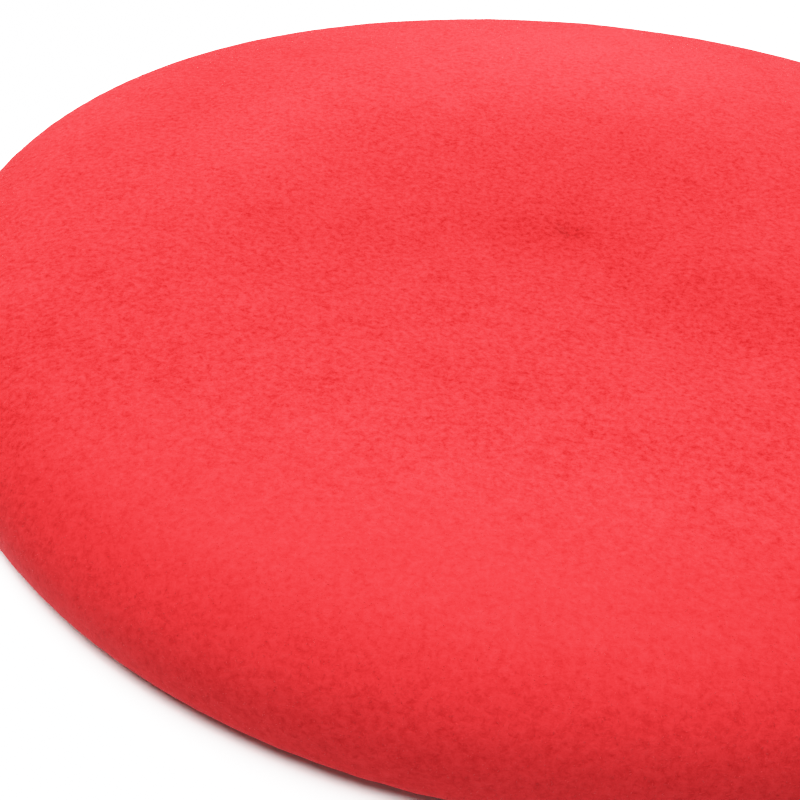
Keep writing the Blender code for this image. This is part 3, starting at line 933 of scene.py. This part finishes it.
def make_maker_label():
    width, depth = MAKER_LABEL_WIDTH, MAKER_LABEL_DEPTH
    x, y, fullness = patch_grid(width, depth, 150, 92, 0.0003, 14)
    middle = tip_underside(x, y) - GAP - LABEL / 2
    half = LABEL / 2 * fullness
    face = middle - half - woven_relief(x, y, width, depth)
    sides = [np.stack([x, y, middle + half], -1), np.stack([x, y, face], -1)]
    label = slab("maker_label_weave", *sides)
    finish(label, woven_material(), ["maker_label"])

    places, headings = [], []
    for axis, side_length, across in ((0, width, depth), (1, depth, width)):
        length = side_length - 2 * LABEL_SEAM_END
        count = int(length / LABEL_STITCH_PITCH)
        for side in (-1, 1):
            row = np.full((count, 2), side * (across / 2 - LABEL_SEAM_IN))
            row[:, axis] = (np.arange(count) + 0.5) * length / count - length / 2
            places.append(row)
            headings.append(np.tile(np.eye(3)[axis], (count, 1)))
    places, along = np.vstack(places), np.vstack(headings)
    middle = np.column_stack([places, tip_underside(*places.T) - GAP - LABEL])
    down = np.tile([0, 0, -1], (len(places), 1))
    steps = np.linspace(-1, 1, 5)
    arch = 0.00012 - 0.0004 * steps**4
    centres = strung(middle, (along, steps * LABEL_STITCH_PITCH * 0.4), (down, arch))
    across = np.cross(along, down)
    seam = many_tubes("maker_label_stitches", centres, across, down, LABEL_THREAD_RADIUS, 6)
    finish(turn_outwards(seam), thread_material("label_thread", LABEL_THREAD_COLOUR))


def make_size_label():
    width, depth = SIZE_LABEL_WIDTH, SIZE_LABEL_DROP
    x, y, fullness = patch_grid(width, depth, 88, 44, 0.0003, 14)
    half = LABEL / 2 * fullness
    border = np.minimum(width / 2 - np.abs(x), depth / 2 - np.abs(y)) - 0.0013
    line = 0.00005 * np.exp(-((border / 0.0003) ** 2))
    curl = 0.00015 * np.sin(x / width * 2.2) + 0.0001 * ease(-y / depth + 0.5)
    sides = [
        np.stack([SIZE_LABEL_X + d * (half + line) + curl, x, INNER_LEAF_TOP - depth / 2 + y], -1)
        for d in (1, -1)
    ]
    label = slab("size_label_weave", *sides)
    finish(label, woven_material(), ["size_label"], body="size_label")


def make_label_tacks():
    """Bars of thread that hold the size label's upper edge to the leather."""
    y = np.linspace(-0.45, 0.45, TACKS)[:, None] * SIZE_LABEL_WIDTH
    steps = np.linspace(0, 1, 7)
    label_x = SIZE_LABEL_X + LABEL / 2 + 0.0001
    x = label_x + (np.sqrt(HEAD_RADIUS**2 - y**2) + 0.0004 - label_x) * steps
    z = INNER_LEAF_TOP - 0.0003 + 0.0003 * np.sin(np.pi * steps)
    centres = np.stack([x, y + 0.0004 * steps, z + 0 * x], -1)
    across, up = (np.tile(axis, (TACKS, 1)) for axis in ((0, 1, 0), (0, 0, 1)))
    tacks = many_tubes("size_label_tacks", centres, across, up, THREAD_RADIUS, 8)
    finish(turn_outwards(tacks), thread_material("tack_thread", LABEL_THREAD_COLOUR))


# -------- materials


class Nodes:
    """Short names for the few node calls that the materials below make."""

    def __init__(self, name):
        self.material = bpy.data.materials.new(name)
        self.material.use_nodes = True
        self.tree = self.material.node_tree
        self.shader = self.tree.nodes["Principled BSDF"]
        self.place = self.tree.nodes.new("ShaderNodeTexCoord").outputs["Object"]

    def link(self, output, target):
        self.tree.links.new(output, target)

    def add(self, kind, inputs, output=0, **settings):
        """Adds a node with its inputs set or linked, and returns one of its outputs."""
        node = self.tree.nodes.new("ShaderNode" + kind)
        for name, value in settings.items():
            setattr(node, name, value)
        for name, value in inputs.items():
            if isinstance(value, bpy.types.NodeSocket):
                self.link(value, node.inputs[name])
            else:
                node.inputs[name].default_value = value
        return node.outputs[output]

    def mapping(self, scale, turn=(0, 0, 0)):
        return self.add("Mapping", {"Scale": scale, "Rotation": turn, "Vector": self.place})

    def noise(self, size, detail=3.0, rough=0.5, distortion=0.0, vector=None):
        inputs = {"Scale": 1 / size, "Detail": detail, "Roughness": rough}
        inputs |= {"Distortion": distortion, "Vector": vector or self.place}
        return self.add("TexNoise", inputs, "Fac")

    def cells(self, size):
        inputs = {"Scale": 1 / size, "Vector": self.place}
        return self.add("TexVoronoi", inputs, "Distance", feature="DISTANCE_TO_EDGE")

    def ribs(self, spacing, direction, distortion):
        scale = 0.314 / spacing  # at scale 1, the wave texture's bands are 0.314 apart
        inputs = {"Scale": scale, "Distortion": distortion, "Vector": self.place}
        return self.add("TexWave", inputs, "Fac", bands_direction=direction)

    def math(self, operation, a, b):
        return self.add("Math", {0: a, 1: b}, operation=operation)

    def total(self, *shares):
        """The sum of (weight, value) pairs."""
        whole = None
        for weight, value in shares:
            part = self.math("MULTIPLY", value, weight)
            whole = part if whole is None else self.math("ADD", whole, part)
        return whole

    def ramp(self, value, *stops):
        node = self.tree.nodes.new("ShaderNodeValToRGB")
        while len(node.color_ramp.elements) < len(stops):
            node.color_ramp.elements.new(0.5)
        for element, (position, colour) in zip(node.color_ramp.elements, stops):
            element.position = position
            element.color = (*colour, 1)
        self.link(value, node.inputs["Fac"])
        return node.outputs["Color"]

    def bump(self, height, distance, strength):
        inputs = {"Strength": strength, "Distance": distance, "Height": height}
        self.link(self.add("Bump", inputs, "Normal"), self.shader.inputs["Normal"])

    def colour(self, output):
        self.link(output, self.shader.inputs["Base Color"])

    def dye(self, value, *stops):
        self.colour(self.ramp(value, *stops))

    def roughness(self, value, low, high):
        inputs = {"Value": value, "To Min": low, "To Max": high}
        self.link(self.add("MapRange", inputs, "Result"), self.shader.inputs["Roughness"])

    def noted(self, name):
        """What was noted on the felt: "nap" is 1 on most of it, more under painted light, partly
        where the nap stands up, and less under painted shade.
        """
        return self.add("Attribute", {}, "Fac", attribute_name=name)

    def painted_light_and_nap(self, colour, share):
        """A red made paler under painted light and deeper under painted shade, partly for where the
        nap stands up or lies down.
        """
        nap_with_painted_light = self.noted("nap")
        red = self.total((share / 2, nap_with_painted_light), (1 - share / 2, 1.0))
        others = self.total((share, nap_with_painted_light), (1 - share, 1.0))
        shares = self.add("CombineXYZ", {"X": red, "Y": others, "Z": others})
        return self.add("VectorMath", {0: colour, 1: shares}, operation="MULTIPLY")

    def set(self, **values):
        for name, value in values.items():
            self.shader.inputs[name.replace("_", " ")].default_value = value


def wool_material():
    """Milled wool: small dark pits between tangled fibres, their darkness partly painted shade,
    under a pale bloom of nap that is partly painted light.
    """
    n = Nodes("brushed_wool")
    grain = n.noise(0.0012, 3.0, 0.8, 0.25)
    strands = n.math(
        "MAXIMUM",
        n.noise(0.0009, 2.0, 0.6, 1.2, n.mapping((1.0, 2.4, 1.6), (0, 0, 0.5))),
        n.noise(0.0009, 2.0, 0.6, 1.2, n.mapping((1.0, 2.4, 1.6), (0, 0, 2.1))),
    )
    clouds = n.noise(0.012, 2.0, 0.6, 0.4)
    height = n.total((0.66, grain), (0.26, strands), (0.1, clouds))
    smoothed = n.math("MULTIPLY", n.noted("rubbed"), n.math("SUBTRACT", height, 0.52))
    height = n.total((1.0, height), (-1.0, smoothed))
    # The noted painted light and shade also shift the ramp, so painted shade gives a deeper red and
    # more dark pits
    felted = n.ramp(
        n.total((1.0, height), (0.1, n.noted("nap")), (-0.1, 1.0)),
        (0.38, (0.32, 0.0068, 0.0084)),
        (0.5, (0.48, 0.0196, 0.023)),
        (0.63, (0.56, 0.032, 0.0375)),
    )
    n.colour(n.painted_light_and_nap(felted, 0.6))
    n.bump(height, 0.0007, 0.48)
    n.roughness(grain, 0.88, 1.0)
    n.set(Sheen_Weight=0.16, Sheen_Roughness=0.3, Sheen_Tint=(1.0, 0.4, 0.45, 1.0))
    n.set(Specular_IOR_Level=0.05)
    return n.material


def fibre_material():
    """Single wool fibres: thinner, so paler than the felt below them."""
    n = Nodes("wool_fibre")
    wool = n.ramp(
        n.noise(0.004, 2.0),
        (0.35, (0.5, 0.02, 0.024)),
        (0.65, (0.66, 0.052, 0.061)),
    )
    # The fibres take the felt's painted light and shade at full share
    n.colour(n.painted_light_and_nap(wool, 1.0))
    n.roughness(n.noise(0.002), 0.5, 0.8)
    n.set(Sheen_Weight=0.1, Sheen_Tint=(1.0, 0.5, 0.5, 1.0), Specular_IOR_Level=0.15)
    return n.material


def leather_material():
    n = Nodes("binding_leather")
    grain = n.cells(0.00085)
    pores = n.noise(0.00045, 3.0, 0.6)
    wear = n.noise(0.012, 4.0, 0.6)
    height = n.total((0.9, grain), (0.25, pores))
    n.dye(wear, (0.35, (0.01, 0.009, 0.009)), (0.7, (0.028, 0.025, 0.024)))
    n.bump(height, 0.00012, 0.7)
    n.roughness(n.total((0.7, wear), (0.3, pores)), 0.34, 0.58)
    n.set(Specular_IOR_Level=0.45)
    return n.material


def satin_material():
    n = Nodes("lining_satin")
    weave = n.ribs(0.00028, "X", 0.3)
    slubs = n.noise(0.003, 3.0, 0.6, 0.0, n.mapping((0.25, 3.0, 1.0)))
    sheen = n.total((0.5, weave), (0.5, slubs))
    n.dye(sheen, (0.2, (0.008, 0.008, 0.009)), (0.8, (0.024, 0.024, 0.027)))
    n.bump(n.total((0.4, weave), (0.6, slubs)), 0.00006, 0.5)
    n.roughness(slubs, 0.3, 0.46)
    n.set(Sheen_Weight=0.2, Sheen_Roughness=0.3, Specular_IOR_Level=0.6)
    return n.material


def cotton_material():
    n = Nodes("cord_cotton")
    yarn = n.noise(0.0006, 3.0, 0.6, 0.5)
    lint = n.noise(0.004, 3.0, 0.6)
    worn = n.total((0.7, yarn), (0.3, lint))
    n.dye(worn, (0.3, (0.01, 0.01, 0.011)), (0.7, (0.034, 0.033, 0.036)))
    n.bump(yarn, 0.00015, 0.7)
    n.roughness(yarn, 0.78, 0.95)
    n.set(Sheen_Weight=0.25, Sheen_Roughness=0.5)
    return n.material


def thread_material(name="seam_thread", colour=(0.022, 0.022, 0.024)):
    n = Nodes(name)
    ply = n.noise(0.0003, 2.0, 0.5, 0.5)
    dark = tuple(0.55 * c for c in colour)
    n.dye(ply, (0.35, dark), (0.65, colour))
    n.bump(ply, 0.00005, 0.6)
    n.roughness(ply, 0.5, 0.75)
    return n.material


def enamel_material():
    """Black enamel over brass, a little worn where it has been handled."""
    n = Nodes("black_enamel")
    wear = n.noise(0.003, 5.0, 0.7)
    orange_peel = n.noise(0.0006, 2.0, 0.5)
    n.dye(wear, (0.62, (0.012, 0.012, 0.013)), (0.72, (0.03, 0.027, 0.022)))
    n.bump(orange_peel, 0.00003, 0.5)
    n.roughness(wear, 0.22, 0.42)
    n.set(Metallic=0.6, Coat_Weight=0.3, Coat_Roughness=0.2)
    return n.material


def buckram_material():
    n = Nodes("stiff_buckram")
    warp = n.ribs(0.001, "X", 0.4)
    weft = n.ribs(0.001, "Y", 0.4)
    weave = n.math("MAXIMUM", warp, weft)
    size = n.noise(0.006, 3.0, 0.6)
    mixed = n.total((0.6, weave), (0.4, size))
    n.dye(mixed, (0.3, (0.34, 0.3, 0.24)), (0.8, (0.6, 0.55, 0.46)))
    n.bump(weave, 0.0002, 0.8)
    n.roughness(size, 0.75, 0.95)
    return n.material


def woven_material():
    """Fine label tape: close warp ribs, crossed by a fainter weft."""
    n = Nodes("label_weave")
    warp = n.ribs(0.00034, "Y", 0.2)
    weft = n.ribs(0.00026, "X", 0.2)
    soil = n.noise(0.007, 4.0, 0.6)
    weave = n.total((0.6, warp), (0.4, weft))
    mixed = n.total((0.45, weave), (0.55, soil))
    n.dye(mixed, (0.25, (0.52, 0.5, 0.46)), (0.75, (0.76, 0.74, 0.69)))
    n.bump(weave, 0.00008, 0.8)
    n.roughness(soil, 0.68, 0.9)
    n.set(Sheen_Weight=0.15)
    return n.material


# -------- camera, floor and light


def place_camera():
    camera = new_object("camera", bpy.data.cameras.new("camera"))
    camera.data.lens = 49.58
    camera.data.sensor_width = 36
    camera.data.clip_start = 0.005
    camera.data.clip_end = 20
    right = Vector((0.97984, 0.19603, 0.03865))
    up = Vector((-0.1533, 0.61353, 0.77465))
    back = Vector((0.12814, -0.76495, 0.63121))
    turn = Matrix((right, up, back)).transposed().to_4x4()
    camera.matrix_world = Matrix.Translation((0.0, -0.22271, 0.14176)) @ turn
    bpy.context.scene.camera = camera


def light_from_above():
    """One wide soft light, aimed at the middle of the beret."""
    light = bpy.data.lights.new("key", "AREA")
    light.shape = "DISK"
    light.size = KEY_SIZE
    light.energy = KEY_POWER
    obj = new_object("key", light)
    obj.location = KEY_PLACE
    obj.rotation_euler = (-Vector(KEY_PLACE)).to_track_quat("-Z", "Y").to_euler()


def soften_highlights():
    """A camera's own response: true up to middle tones, then an easy shoulder to white."""
    view = bpy.context.scene.view_settings
    view.view_transform = "Standard"
    view.use_curve_mapping = True
    response = view.curve_mapping
    response.white_level = (BRIGHTEST, BRIGHTEST, BRIGHTEST)
    points = response.curves[3].points
    points[1].location = (1, 1)
    for light, shown in RESPONSE:
        points.new(light / BRIGHTEST, shown)
    response.update()


def make_stage():
    floor = mesh_object("floor", [(-3, -3, 0), (3, -3, 0), (3, 3, 0), (-3, 3, 0)], [(0, 1, 2, 3)])
    n = Nodes("white_paper")
    n.dye(n.noise(0.3, 2.0), (0.3, (0.86, 0.86, 0.86)), (0.7, (0.88, 0.88, 0.88)))
    n.set(Roughness=0.9, Specular_IOR_Level=0.1)
    floor.data.materials.append(n.material)
    world = bpy.data.worlds.new("studio")
    bpy.context.scene.world = world
    world.use_nodes = True
    background = world.node_tree.nodes["Background"]
    background.inputs["Color"].default_value = (1, 1, 1, 1)
    background.inputs["Strength"].default_value = AMBIENT
    light_from_above()
    soften_highlights()


# -------- the scene


def main():
    place_camera()
    make_stage()
    felt, top, under = make_felt()
    finish(felt, wool_material(), ["felt_crown"])
    make_nap(top, under)
    satin = satin_material()
    finish(make_lining_tip(), satin, ["lining_tip"])
    finish(make_lining_side(), satin, ["lining_side"])
    finish(make_binding(), leather_material(), ["sweatband"])
    make_stitching()
    make_drawcord()
    make_vents()
    make_stiffener()
    make_maker_label()
    make_size_label()
    make_label_tacks()


main()
